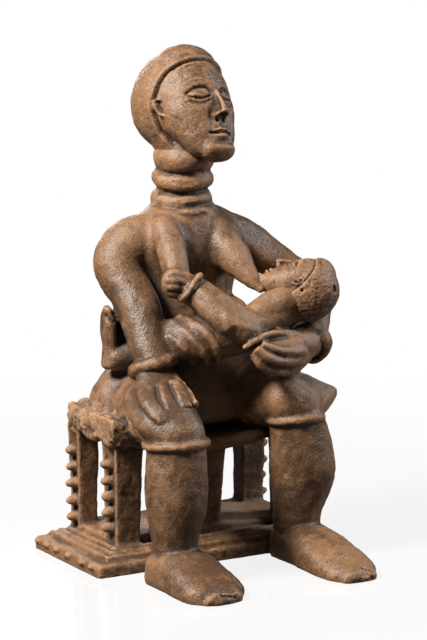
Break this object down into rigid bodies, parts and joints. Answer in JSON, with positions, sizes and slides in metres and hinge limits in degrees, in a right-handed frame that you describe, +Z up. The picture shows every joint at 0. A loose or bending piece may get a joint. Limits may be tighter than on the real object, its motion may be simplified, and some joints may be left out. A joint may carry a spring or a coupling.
{
  "type": "seated mother and child figure",
  "caption": "Fired-clay figure of a mother with ringed neck on a four-post stool, nursing the child that lies across her lap.",
  "frame": {"origin": "middle of the stool's base plate, on the ground", "axes": "+Z up, the mother faces -Y, her left side is +X"},
  "size_m": [0.3105, 0.2938, 0.5283],
  "materials": {
    "fired_clay": "brown terracotta with a worn dark slip, satin on the smooth parts, chalky where worn"
  },
  "bodies": {
    "root": {"maternity_figure": "fired_clay"}
  },
  "joints": []
}
